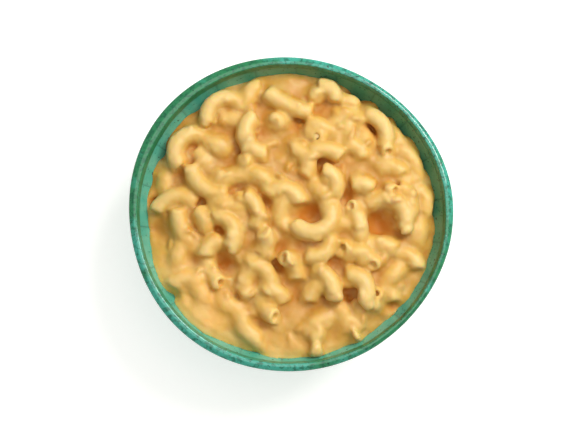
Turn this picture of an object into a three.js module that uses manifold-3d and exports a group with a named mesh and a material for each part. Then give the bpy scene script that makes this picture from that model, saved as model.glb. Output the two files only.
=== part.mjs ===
// A bowl of mac and cheese: elbow macaroni heaped in thick cheese sauce, in a hand-made stoneware bowl.
// Millimetres, +Z up. The origin is the middle of the bowl's footprint, on the surface that it stands on.
import * as THREE from "three";
import { mergeVertices } from "three/addons/utils/BufferGeometryUtils.js";
import Module from "manifold-3d";

const wasm = await Module();
wasm.setup();

// The bowl.
const RIM_RADIUS = 80.6; // outside, before the unevenness of the hand-made rim
const RIM_THICKNESS = 3.8;
const RIM_HALF_HEIGHT = 2.4; // of the rounded lip
const BOWL_HEIGHT = 62;
const FLOOR_Z = 8.5; // inside, at the middle
const BASE_THICKNESS = 6;
const WALL_ROUNDNESS = 2.5; // exponent of the wall's curve: 2 is a circle's, more is squarer
const WALL_FLARE = 0.3; // how much the wall leans out on the way up
const FLOOR_DETAIL = 1.6; // over 1, the profile's points lie closer together low down
const FOOT_OUTER_RADIUS = 38.6;
const FOOT_INNER_RADIUS = 33.4;
const FOOT_CHAMFER = 0.8;
const FOOT_RECESS = 3;
const BOWL_SECTORS = 66;
const WALL_STEPS = 8;
const LIP_STEPS = 4;
const AXIS = [-1, 0.3]; // x, y of the wheel's axis, which puts the uneven bowl's box on the origin

// The unevenness of the bowl: [waves round the rim, share of the radius or millimetres, degrees].
const OUTLINE_WAVES = [
  [2, 0.016, -27],
  [3, 0.0112, 28],
  [5, 0.0031, 33],
];
const CAVITY_WAVES = [
  [1, 0.0106, -22],
  [2, 0.0147, -19],
  [3, 0.0051, 13],
];
const RIM_LEVEL_WAVES = [
  [2, 0.6, 100],
  [3, 0.35, -60],
];
const PANELS = 22; // shallow upright panels that the maker's fingers left inside
const PANEL_PHASE = 5.3; // degrees
const PANEL_RELIEF = 0.3;

// The cheese sauce.
const GAP = 0.3; // between the food and the bowl
const EDGE_LEVEL = 50.5;
const DOME_RISE = 8;
const SHOULDER_DROP = 0.6; // how far the sauce rounds down at the wall
const SHOULDER_WIDTH = 3;
const RIPPLE_HEIGHT = 0.45;
const RIPPLE_LENGTH = 17;
const SAUCE_RINGS = [0, 0.12, 0.25, 0.37, 0.5, 0.62, 0.74, 0.86, 0.94, 1]; // shares of the way to the wall
const SAUCE_SECTORS = 45;

// Where the sauce lies deep between the macaroni, and where it has run together: x, y, height, radius.
const HOLLOWS = [
  [-27, 10.5, -4, 4.5], [-46.5, 6, -4, 4], [-13, 4, -3, 4], [-9, -27, -4.5, 4.5], [29.5, -43, -6.5, 5.5],
  [13, 26.5, -4.5, 4], [44, -6, -8, 7], [26.5, 8.5, -3.5, 5], [-35, -26, -6, 6], [40.5, 43, -5, 4],
  [4, 47.5, -3.5, 4], [-38.5, -9, -3.5, 4], [4, -40, -3.5, 9], [-27, -42, -3, 4], [22.5, -27, -4, 5],
  [53, 16, -3.5, 3.5], [10, 0, -5, 6], [-47, 33, -3, 5], [51.5, -46, -3, 3.5], [-67, -8, -3, 9],
  [-67, 17, -3, 8],
];
const POOLS = [
  [-49, -56, 5.5, 18], [-14, -73, 2.5, 15], [8, -76, 1.5, 15], [31, -70, 1, 15], [-66, -31, 3, 15],
  [-4, 66, 2.5, 11], [40, 21, 1.5, 12], [-36, 36, 1.5, 8],
];

// The macaroni, with its coat of sauce.
const TUBE_RADIUS = 4.1;
const BORE_RADIUS = 1.5;
const BORE_DEPTH = 2.6; // measured along the bend
const BEND_RADIUS = 9.2; // of the centre line
const TUBE_SIDES = 6;
const CORNER_RADIUS = TUBE_RADIUS / Math.sqrt(Math.cos(Math.PI / TUBE_SIDES)); // as far out as the flats are in
const BORE_SIDES = 4;
const SEGMENT_ANGLE = 36; // of the bend, for each straight stretch
const SIZE_SPREAD = 0.12;
const LEAN_SPREAD = 12;
const TILT_SPREAD = 16;
const SEED = 41;

// Each way that macaroni lies in the heap. lean turns the bend's outside up from level, tilt lifts one end
// over the other, lift is the height of the tube's centre over the sauce, at the middle of the bend, and size
// is a factor on the tube's radius. A piece is x, y of the middle of its bend, the way that its outside faces,
// its sweep in degrees, and the radius of its bend where that isn't BEND_RADIUS. A sweep below zero puts the
// raised or open end on the other side.
const HEAP = [
  {
    pose: "lying on top of the others", lean: 10, tilt: 0, lift: 3.0, size: 1.04, bores: 0,
    pieces: [
      [-37.3, 58.1, 115, 180, 9.5], [-56, 37.7, 134, 180], [-22.8, 37.8, 195, -148, 10.4],
      [46.7, 44.5, 29, 112, 11.8], [53.2, 5.8, 55, 170, 10.8], [37, -35.8, 27, 150, 8.4],
      [14.9, -8.8, 296, 172, 10.2], [20.3, 63, 45, 110, 7],
    ],
  },
  {
    pose: "lying proud of the sauce", lean: 9, tilt: 0, lift: 1.7, size: 1.0, bores: 0,
    pieces: [
      [-44.7, 13.3, 231, 106, 14], [-12.6, -29.3, 35, 142, 8.4], [-17, 2, 20, -95, 12],
      [-2.7, 12, 75, 130], [34.5, -6, 10, 90, 10], [-29.5, -6.4, 27, 155, 9], [-40.8, -16.3, 140, 62, 11],
      [19.4, -34, 32, 85, 14], [-2, 55, 245, 36, 41], [8, 27.5, 25, 130, 8], [22, 16.5, 20, 120, 8],
      [17.8, 32.2, 82, 75, 13], [16.5, -19.8, 310, 130, 8.5], [60, 6.5, 15, 90, 12],
    ],
  },
  {
    pose: "lying half sunk", lean: 8, tilt: 0, lift: 0.1, size: 0.97, bores: 0,
    pieces: [
      [-21, 62, 150, 110, 6], [29.5, 57.5, 70, 80, 6.5], [28.5, 42, 182, 60, 10], [12, 40, 60, 80, 6],
      [63.5, 28.5, 35, 120, 11], [68.5, 10, 35, 140, 8.5], [-5.7, 0.5, 180, 130], [30, 49.8, 75, 55, 16],
      [-59.1, 8.8, 102, 112, 12.6], [-23, -34.5, 170, 100], [12.5, -37, 125, 130, 7],
      [60.5, -21.5, 60, 120, 7], [51.5, -41.5, 60, 110, 6.5], [-53.7, -33, 95, 110, 8], [17.2, 8, 27, 62, 20],
      [-24, 19.8, 95, 60, 22], [33, 33.5, 60, 110, 6.5], [44.5, -15.3, 85, 60, 16], [-55, -8.5, 205, 58, 22],
      [51, 24, 75, 100, 8], [-22.8, -57.8, 215, 80, 13],
    ],
  },
  {
    pose: "arched over the sauce", lean: 48, tilt: 0, lift: 1.2, size: 0.96, bores: 0,
    pieces: [
      [36, 14.5, 75, 80, 7], [-14.5, 18, 50, 150], [33.3, -19.5, 88, 120, 6], [-8.8, -39, 75, 140, 5.5],
      [14.5, 44.5, 70, 75], [-43.8, -3, 20, -70, 10], [-33.7, 5, 85, 92],
    ],
  },
  {
    pose: "arched and mostly sunk", lean: 56, tilt: 0, lift: -0.6, size: 0.94, bores: 0,
    pieces: [
      [-56.5, -21, 180, 85], [-31.5, -45.5, 235, 80, 8], [23.8, -5.8, 110, 112], [13.3, -54.5, 120, 92],
      [26.3, -50, 30, 92], [64.5, -9, 350, 130], [-38, 35, 70, 80], [57, 17.5, 80, 60, 8],
      [51.5, -30.5, 320, 112], [-46, -38.5, 33, 60, 10], [-29.5, 48, 80, 100, 7], [31.5, -56.5, 60, 60],
      [-26.2, 3.5, 185, 60, 13], [54, 40, 30, 60, 13], [22.5, 41, 180, 60, 12], [-65, 17, 170, 120, 8.5],
      [30, -34, 120, 70, 5], [34, -47.5, 15, 60, 8], [38, 38, 25, 80], [-44, 27, 20, 80],
    ],
  },
  {
    pose: "one end raised and open", lean: -28, tilt: 30, lift: 1.0, size: 0.92, bores: 1,
    pieces: [
      [-40.1, -29.6, 215, 50, 18], [-12.2, -15, 10, -85], [-12.2, -48.6, 225, 62, 12], [1.3, -26, 50, 95],
    ],
  },
  {
    pose: "standing on one end", lean: 0, tilt: 68, lift: -0.8, size: 1.0, bores: 0,
    pieces: [
      [-5.5, 46.8, 60, 80], [13.8, 64.2, 135, 80], [-22.3, 25.2, 20, 70], [44.5, -48.6, 20, 80],
      [15.2, -68.5, 10, 70], [-36.7, 17.2, 20, 60],
    ],
  },
  {
    pose: "standing low with an open end", lean: 0, tilt: 68, lift: -1.2, size: 0.82, bores: 1,
    pieces: [
      [49, 34.3, 150, 80], [49.5, 14, 170, 90], [42.4, -24.2, 90, 80], [32.7, 2.1, 40, 75],
      [28.9, -17, 60, 70], [44.5, -41.8, 0, 65], [15.5, 38.5, 60, 60],
    ],
  },
  {
    pose: "a short end lying at the bowl's edge", lean: 5, tilt: 0, lift: 3.2, size: 0.95, bores: 0,
    pieces: [[12.9, -69, 270, 30], [33.4, -62.5, 300, 16]],
  },
];

const radians = THREE.MathUtils.degToRad;

// The same stream of numbers from 0 to 1 each time.
function randomStream(seed) {
  let state = seed;
  return () => {
    state = (state * 16807) % 2147483647;
    return state / 2147483647;
  };
}

function waves(list, angle) {
  return list.reduce((sum, [count, size, phase]) => sum + size * Math.cos(count * angle - radians(phase)), 0);
}

// A wall's radius on the way up from its bottom (share 0) to the rim (share 1).
function wallRadius(share, rimRadius) {
  const s = THREE.MathUtils.clamp(share, 0, 1);
  const round = (1 - (1 - s) ** WALL_ROUNDNESS) ** (1 / WALL_ROUNDNESS);
  return rimRadius * round * (1 - WALL_FLARE * (1 - s));
}

const LIP_Z = BOWL_HEIGHT - RIM_HALF_HEIGHT;
const INNER_RIM_RADIUS = RIM_RADIUS - RIM_THICKNESS;
const OUTER_BOTTOM_Z = FLOOR_Z - BASE_THICKNESS;

// The inside's profile as [radius, z], from the middle of the floor up to the lip.
const INSIDE = Array.from({ length: WALL_STEPS + 1 }, (_, i) => {
  const share = (i / WALL_STEPS) ** FLOOR_DETAIL;
  return [wallRadius(share, INNER_RIM_RADIUS), FLOOR_Z + share * (LIP_Z - FLOOR_Z)];
});

// Radius of the inside at a height, along the straight stretches of that profile.
function innerRadius(z) {
  const next = Math.max(1, INSIDE.findIndex(([, top]) => top >= z));
  const [[r0, z0], [r1, z1]] = [INSIDE[next - 1], INSIDE[next]];
  return THREE.MathUtils.mapLinear(THREE.MathUtils.clamp(z, z0, z1), z0, z1, r0, r1);
}

// How far the hand-made bowl is from a turned one, as a factor on the radius: none at the foot. The lip
// changes from the outside's unevenness, at share 0 of the way over it, to the cavity's own, at share 1.
function unevenness(angle, z, over) {
  const waviness = THREE.MathUtils.lerp(waves(OUTLINE_WAVES, angle), waves(CAVITY_WAVES, angle), over);
  return 1 + THREE.MathUtils.smoothstep(z, 0, LIP_Z) * waviness;
}

// How far the unevenness lifts the wall there.
function lifted(angle, r, z) {
  return (THREE.MathUtils.smoothstep(z, 0, LIP_Z) * r * waves(RIM_LEVEL_WAVES, angle)) / RIM_RADIUS;
}

// Radius of the cavity, measured from the wheel's axis.
function cavityRadius(angle, z) {
  const unlifted = z - lifted(angle, innerRadius(z), z);
  return innerRadius(unlifted) * unevenness(angle, unlifted, 1);
}

const fromAxis = (x, y) => [x - AXIS[0], y - AXIS[1]];

// Spins a profile of [radius, z] about the upright axis, and puts each vertex where shape(r, z, angle, row) says.
function turned(profile, sectors, shape) {
  const points = profile.map(([r, z]) => new THREE.Vector2(r, z));
  const geometry = new THREE.LatheGeometry(points, sectors);
  geometry.rotateX(Math.PI / 2);
  const position = geometry.getAttribute("position");
  for (let i = 0; i < position.count; i++) {
    const row = i % profile.length;
    const sector = Math.floor(i / profile.length) % sectors;
    const angle = (sector / sectors) * 2 * Math.PI + radians(PANEL_PHASE);
    const [r, z] = shape(...profile[row], angle, row);
    position.setXYZ(i, AXIS[0] + r * Math.cos(angle), AXIS[1] + r * Math.sin(angle), z);
  }
  return geometry;
}

// ---- solids ----

function solid(geometry) {
  const bare = geometry.index ? geometry.toNonIndexed() : geometry.clone();
  const merged = mergeVertices(
    new THREE.BufferGeometry().setAttribute("position", bare.getAttribute("position")), 1e-4);
  const corners = merged.index.array;
  const triVerts = new Uint32Array(
    corners.filter((_, i) => {
      const [a, b, c] = corners.slice(i - (i % 3), i - (i % 3) + 3);
      return a !== b && b !== c && c !== a;
    }),
  );
  const vertProperties = merged.getAttribute("position").array;
  const made = new wasm.Manifold(new wasm.Mesh({ numProp: 3, vertProperties, triVerts }));
  if (made.volume() > 0) return made;
  for (let i = 0; i < triVerts.length; i += 3) {
    [triVerts[i + 1], triVerts[i + 2]] = [triVerts[i + 2], triVerts[i + 1]];
  }
  return new wasm.Manifold(new wasm.Mesh({ numProp: 3, vertProperties, triVerts }));
}

function geometryOf(manifold) {
  const { vertProperties, triVerts, numProp } = manifold.getMesh();
  const position = new Float32Array((vertProperties.length / numProp) * 3);
  for (let i = 0; i < position.length / 3; i++) {
    position.set(vertProperties.subarray(i * numProp, i * numProp + 3), i * 3);
  }
  const geometry = new THREE.BufferGeometry().setAttribute("position", new THREE.BufferAttribute(position, 3));
  geometry.setIndex(new THREE.BufferAttribute(new Uint32Array(triVerts), 1));
  geometry.computeVertexNormals();
  return geometry;
}

// Keeps the outermost surface alone, so that a pocket sealed between pieces is filled and a loose scrap goes.
function outermostShell(geometry) {
  const index = geometry.index.array;
  const owner = Array.from({ length: geometry.getAttribute("position").count }, (_, i) => i);
  const root = (i) => {
    while (owner[i] !== i) i = owner[i] = owner[owner[i]];
    return i;
  };
  for (let i = 0; i < index.length; i += 3) {
    owner[root(index[i + 1])] = root(index[i]);
    owner[root(index[i + 2])] = root(index[i]);
  }
  const shells = Map.groupBy(Array.from({ length: index.length / 3 }, (_, i) => i), (i) => root(index[3 * i]));
  const largest = [...shells.values()].reduce((a, b) => (b.length > a.length ? b : a));
  geometry.setIndex(largest.flatMap((i) => [...index.slice(3 * i, 3 * i + 3)]));
  return geometry;
}

// ---- the bowl ----

function bowlProfile() {
  const footTop = OUTER_BOTTOM_Z + 4;
  const underside = [
    [0, FOOT_RECESS],
    [FOOT_INNER_RADIUS, FOOT_RECESS],
    [FOOT_INNER_RADIUS + FOOT_CHAMFER, 0],
    [FOOT_OUTER_RADIUS - FOOT_CHAMFER, 0],
    [FOOT_OUTER_RADIUS, FOOT_CHAMFER],
    [FOOT_OUTER_RADIUS, footTop],
  ];
  const outside = [];
  for (let i = 0; i <= WALL_STEPS; i++) {
    const share = 0.17 + (1 - 0.17) * (i / WALL_STEPS);
    outside.push([wallRadius(share, RIM_RADIUS), OUTER_BOTTOM_Z + share * (LIP_Z - OUTER_BOTTOM_Z)]);
  }
  const lip = [];
  for (let i = 1; i < LIP_STEPS; i++) {
    const angle = (i / LIP_STEPS) * Math.PI;
    const middle = RIM_RADIUS - RIM_THICKNESS / 2;
    lip.push([middle + (RIM_THICKNESS / 2) * Math.cos(angle), LIP_Z + RIM_HALF_HEIGHT * Math.sin(angle)]);
  }
  const profile = [...underside, ...outside, ...lip, ...INSIDE.toReversed()];
  return { profile, firstOnLip: underside.length + outside.length, firstInside: profile.length - INSIDE.length };
}

// Each panel bulges a little into the cavity between the two grooves that bound it.
function bowlGeometry() {
  const { profile, firstOnLip, firstInside } = bowlProfile();
  return turned(profile, BOWL_SECTORS, (r, z, angle, row) => {
    const share = THREE.MathUtils.smoothstep(z, 0, LIP_Z);
    const over = row < firstOnLip ? 0 : row < firstInside ? (RIM_RADIUS - r) / RIM_THICKNESS : 1;
    const groove = 1 - Math.abs(Math.sin((PANELS / 2) * (angle - radians(PANEL_PHASE))));
    const panel = row > firstInside ? PANEL_RELIEF * share * groove : 0;
    return [r * unevenness(angle, z, over) + panel * Math.sign(r), z + lifted(angle, r, z)];
  });
}

// ---- the food ----

const bump = (x, y, [cx, cy, height, radius]) =>
  height * Math.exp(-((x - cx) ** 2 + (y - cy) ** 2) / (2 * (radius / 1.5) ** 2));

// Height of the bare sauce at a place: a low dome that rounds down at the wall.
function sauceLevel(x, y) {
  const [fromX, fromY] = fromAxis(x, y);
  const reach = Math.hypot(fromX, fromY);
  const wall = cavityRadius(Math.atan2(fromY, fromX), EDGE_LEVEL);
  const shoulder = THREE.MathUtils.clamp((reach - wall) / SHOULDER_WIDTH + 1, 0, 1) ** 2;
  const ripple = Math.sin((2 * Math.PI * x) / RIPPLE_LENGTH + 1) * Math.cos((2 * Math.PI * y) / RIPPLE_LENGTH);
  const uneven = [...HOLLOWS, ...POOLS].reduce((sum, place) => sum + bump(x, y, place), 0);
  return (
    EDGE_LEVEL +
    DOME_RISE * (1 - (reach / INNER_RIM_RADIUS) ** 2) +
    RIPPLE_HEIGHT * ripple +
    uneven -
    SHOULDER_DROP * shoulder
  );
}

// The body of sauce, from the bowl's floor to its own level.
function sauceGeometry() {
  const top = SAUCE_RINGS.map((share) => [share, EDGE_LEVEL]);
  const below = INSIDE.filter(([, z]) => z < EDGE_LEVEL - SHOULDER_DROP - 2).toReversed();
  return turned([...top, ...below], SAUCE_SECTORS, (share, z, angle, row) => {
    if (row >= top.length) return [Math.max(0, cavityRadius(angle, z) - GAP), z + GAP];
    let level = z;
    let r = 0;
    for (let pass = 0; pass < 4; pass++) {
      r = share * (cavityRadius(angle, level) - GAP);
      level = sauceLevel(AXIS[0] + r * Math.cos(angle), AXIS[1] + r * Math.sin(angle));
    }
    return [r, level];
  });
}

// A bend of the given radii that lies level, round the origin, with the middle of its outside on +X.
class Bend extends THREE.Curve {
  constructor(radius, from, to) {
    super();
    Object.assign(this, { radius, from, to });
  }
  getPoint(t, target = new THREE.Vector3()) {
    const angle = THREE.MathUtils.lerp(this.from, this.to, t);
    return target.set(this.radius * Math.cos(angle), this.radius * Math.sin(angle), 0);
  }
}

function tube(bend, tubeRadius, sides) {
  const corners = Array.from({ length: sides }, (_, i) => {
    const angle = ((i + 0.5) / sides) * 2 * Math.PI;
    return new THREE.Vector2(tubeRadius * Math.cos(angle), tubeRadius * Math.sin(angle));
  });
  const steps = Math.max(1, Math.round(Math.abs(bend.to - bend.from) / radians(SEGMENT_ANGLE)));
  return new THREE.ExtrudeGeometry(new THREE.Shape(corners), { steps, extrudePath: bend, bevelEnabled: false });
}

// Where a piece of macaroni lies: the frame of its bend, whose origin is the bend's centre.
function placeOf(piece, pose, random) {
  const [x, y, facing, sweep, bendRadius = BEND_RADIUS] = piece;
  const size = pose.size + (random() - 0.5) * SIZE_SPREAD;
  const lean = radians(pose.lean + (random() - 0.5) * LEAN_SPREAD);
  const tilt = radians(pose.tilt + (random() - 0.5) * TILT_SPREAD);
  const heading = radians(facing);
  const out = new THREE.Vector3(Math.cos(heading), Math.sin(heading), 0);
  const along = new THREE.Vector3(-Math.sin(heading), Math.cos(heading), 0).multiplyScalar(Math.sign(sweep));
  out.multiplyScalar(Math.cos(lean)).setZ(Math.sin(lean));
  along.applyAxisAngle(out, tilt * Math.sign(sweep));
  const middle = new THREE.Vector3(x, y, sauceLevel(x, y) + pose.lift);
  return { size, sweep: radians(Math.abs(sweep)), out, along, middle, bendRadius };
}

function pointsOnBend({ out, along, middle, bendRadius, sweep }, count = 7) {
  return Array.from({ length: count }, (_, i) => {
    const angle = sweep * (i / (count - 1) - 0.5);
    return middle
      .clone()
      .addScaledVector(out, bendRadius * (Math.cos(angle) - 1))
      .addScaledVector(along, bendRadius * Math.sin(angle));
  });
}

// Moves a piece towards the middle until all of it is clear of the wall.
function keepClearOfWall(place) {
  for (let pass = 0; pass < 4; pass++) {
    const worst = pointsOnBend(place).reduce((most, p) => {
      const [x, y] = fromAxis(p.x, p.y);
      const reach = Math.hypot(x, y) + CORNER_RADIUS * place.size;
      return Math.max(most, reach - (cavityRadius(Math.atan2(y, x), p.z - TUBE_RADIUS / 2) - GAP));
    }, 0);
    const [x, y] = fromAxis(place.middle.x, place.middle.y);
    const inward = new THREE.Vector3(-x, -y, 0).normalize();
    place.middle.addScaledVector(inward, worst);
  }
}

function macaroniSolid(place, bores) {
  const { size, sweep, out, along, middle, bendRadius } = place;
  const across = new THREE.Vector3().crossVectors(out, along);
  const centre = middle.clone().addScaledVector(out, -bendRadius);
  const frame = new THREE.Matrix4().makeBasis(out, along, across).setPosition(centre);
  const half = sweep / 2;
  const bend = new Bend(bendRadius, -half, half);
  const piece = solid(tube(bend, CORNER_RADIUS * size, TUBE_SIDES).applyMatrix4(frame));
  if (!bores) return piece;
  const depth = BORE_DEPTH / bendRadius;
  const boreBend = new Bend(bendRadius, half - depth, half + depth / 2);
  return piece.subtract(solid(tube(boreBend, BORE_RADIUS * size, BORE_SIDES).applyMatrix4(frame)));
}

function heapSolid() {
  const random = randomStream(SEED);
  let heap = solid(sauceGeometry());
  for (const pose of HEAP) {
    for (const piece of pose.pieces) {
      const place = placeOf(piece, pose, random);
      keepClearOfWall(place);
      heap = heap.add(macaroniSolid(place, pose.bores));
    }
  }
  return heap;
}

// ---- the object ----

function node(name, geometry, color, roughness) {
  const mesh = new THREE.Mesh(geometry, new THREE.MeshStandardMaterial({ color, roughness, metalness: 0 }));
  mesh.name = name;
  return mesh;
}

const macAndCheese = new THREE.Group();
macAndCheese.add(
  node("bowl", geometryOf(solid(bowlGeometry())), 0x4f9b82, 0.35),
  node("macaroni_in_sauce", outermostShell(geometryOf(heapSolid())), 0xe3a94f, 0.45),
);

export default macAndCheese;
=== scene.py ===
"""A bowl of mac and cheese, dressed round its construction model.

Three pieces are made: the glazed stoneware bowl, the elbow macaroni, and the cheese sauce that coats and
joins them. Lengths are in metres, but names that end in _MM and the tables of places are in millimetres.
+Z is up.
"""
import math

import bmesh
import bpy
import numpy as np
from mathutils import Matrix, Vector


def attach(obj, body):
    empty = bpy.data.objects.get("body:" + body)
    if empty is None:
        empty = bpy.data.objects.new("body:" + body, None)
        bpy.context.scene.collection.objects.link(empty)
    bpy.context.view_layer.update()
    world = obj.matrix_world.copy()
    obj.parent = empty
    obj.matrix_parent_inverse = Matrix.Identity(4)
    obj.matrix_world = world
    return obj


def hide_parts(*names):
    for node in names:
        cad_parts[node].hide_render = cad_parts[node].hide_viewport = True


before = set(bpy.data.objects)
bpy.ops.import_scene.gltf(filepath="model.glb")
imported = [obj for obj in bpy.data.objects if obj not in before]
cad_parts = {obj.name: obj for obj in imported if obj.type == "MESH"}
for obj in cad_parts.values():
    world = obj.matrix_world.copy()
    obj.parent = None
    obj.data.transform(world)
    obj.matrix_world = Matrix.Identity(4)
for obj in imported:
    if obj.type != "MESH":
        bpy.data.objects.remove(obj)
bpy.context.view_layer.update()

bl_info = {
    "name": "Mac and Cheese Bowl",
    "version": (1, 0, 0),
    "blender": (4, 5, 0),
    "location": "3D View > Sidebar > Mac and Cheese",
    "description": "Makes a glazed bowl of elbow macaroni in cheese sauce, with a plain studio",
    "category": "Add Mesh",
}

MM = 0.001

# ---- the bowl's form, as the construction model has it ----

RIM_RADIUS_MM = 80.6
RIM_THICKNESS_MM = 3.8
RIM_HALF_HEIGHT_MM = 2.4
BOWL_HEIGHT_MM = 62.0
FLOOR_Z_MM = 8.5
BASE_THICKNESS_MM = 6.0
WALL_ROUNDNESS = 2.5
WALL_FLARE = 0.3
FOOT_OUTER_MM = 38.6
FOOT_INNER_MM = 33.4
FOOT_RECESS_MM = 3.0
FOOT_HEIGHT_MM = 5.0
FOOT_JOINS_AT = 0.17  # the share of the outer wall's height where the foot ends
AXIS_X_MM = -1.0
AXIS_Y_MM = 0.3
OUTLINE_WAVES = [(2, 0.016, -27), (3, 0.0112, 28), (5, 0.0031, 33)]
CAVITY_WAVES = [(1, 0.0106, -22), (2, 0.0147, -19), (3, 0.0051, 13)]
RIM_LEVEL_WAVES = [(2, 0.6, 100), (3, 0.35, -60)]
PANELS = 22
PANEL_PHASE = 5.3
LIP_NOISE_SCALE = 4.5
WALL_NOISE_SCALE = 38.0
WALL_DRAW = -1.6  # which way and how much the wobble moves the wall
LIP_Z_MM = BOWL_HEIGHT_MM - RIM_HALF_HEIGHT_MM
OUTER_BOTTOM_Z_MM = FLOOR_Z_MM - BASE_THICKNESS_MM
INNER_RIM_MM = RIM_RADIUS_MM - RIM_THICKNESS_MM

# ---- the heap's form, as the construction model has it ----

EDGE_LEVEL_MM = 50.5
DOME_RISE_MM = 8.0
SHOULDER_DROP_MM = 0.6
SHOULDER_WIDTH_MM = 3.0
RIPPLE_HEIGHT_MM = 0.45
RIPPLE_LENGTH_MM = 17.0

# Where the sauce lies deep between the macaroni, and where it has run together: x, y, height, radius.
HOLLOWS = [
    (-27, 10.5, -4, 4.5), (-46.5, 6, -4, 4), (-13, 4, -3, 4), (-9, -27, -4.5, 4.5), (29.5, -43, -6.5, 5.5),
    (13, 26.5, -4.5, 4), (44, -6, -8, 7), (26.5, 8.5, -3.5, 5), (-35, -26, -6, 6), (40.5, 43, -5, 4),
    (4, 47.5, -3.5, 4), (-38.5, -9, -3.5, 4), (4, -40, -3.5, 9), (-27, -42, -3, 4), (22.5, -27, -4, 5),
    (53, 16, -3.5, 3.5), (10, 0, -5, 6), (-47, 33, -3, 5), (51.5, -46, -3, 3.5), (-67, -8, -3, 9),
    (-67, 17, -3, 8),
]
POOLS = [
    (-49, -56, 5.5, 18), (-14, -73, 2.5, 15), (8, -76, 1.5, 15), (31, -70, 1, 15), (-66, -31, 3, 15),
    (-4, 66, 2.5, 11), (40, 21, 1.5, 12), (-36, 36, 1.5, 8),
]

# Where the sauce doesn't quite reach the wall: x, y, height, radius.
GAPS = [
    (-66, 32, -6, 4), (-69, 5, -5, 3.5), (-59, -41, -4.5, 3.2), (-18, -72, -5, 3), (34, 60, -6, 4.5),
    (56, 43, -6, 4.5), (67, 26, -6, 4), (73, 2, -5, 4), (48, 52, -4, 4), (-49, 55, -4, 4),
]
BELL_REACH = 1.5  # the radius of a hollow or pool, in widths of its bell curve

TUBE_RADIUS_MM = 4.1
BEND_RADIUS_MM = 9.2
END_COVER_MM = 2.8  # how much shorter the macaroni is than its coat of sauce, both ends together
WALL_GAP_MM = 0.3
SIZE_SPREAD = 0.12
LEAN_SPREAD = 12.0
TILT_SPREAD = 16.0
HEAP_SEED = 41
STREAM_FACTOR = 16807
STREAM_SIZE = 2147483647

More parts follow.
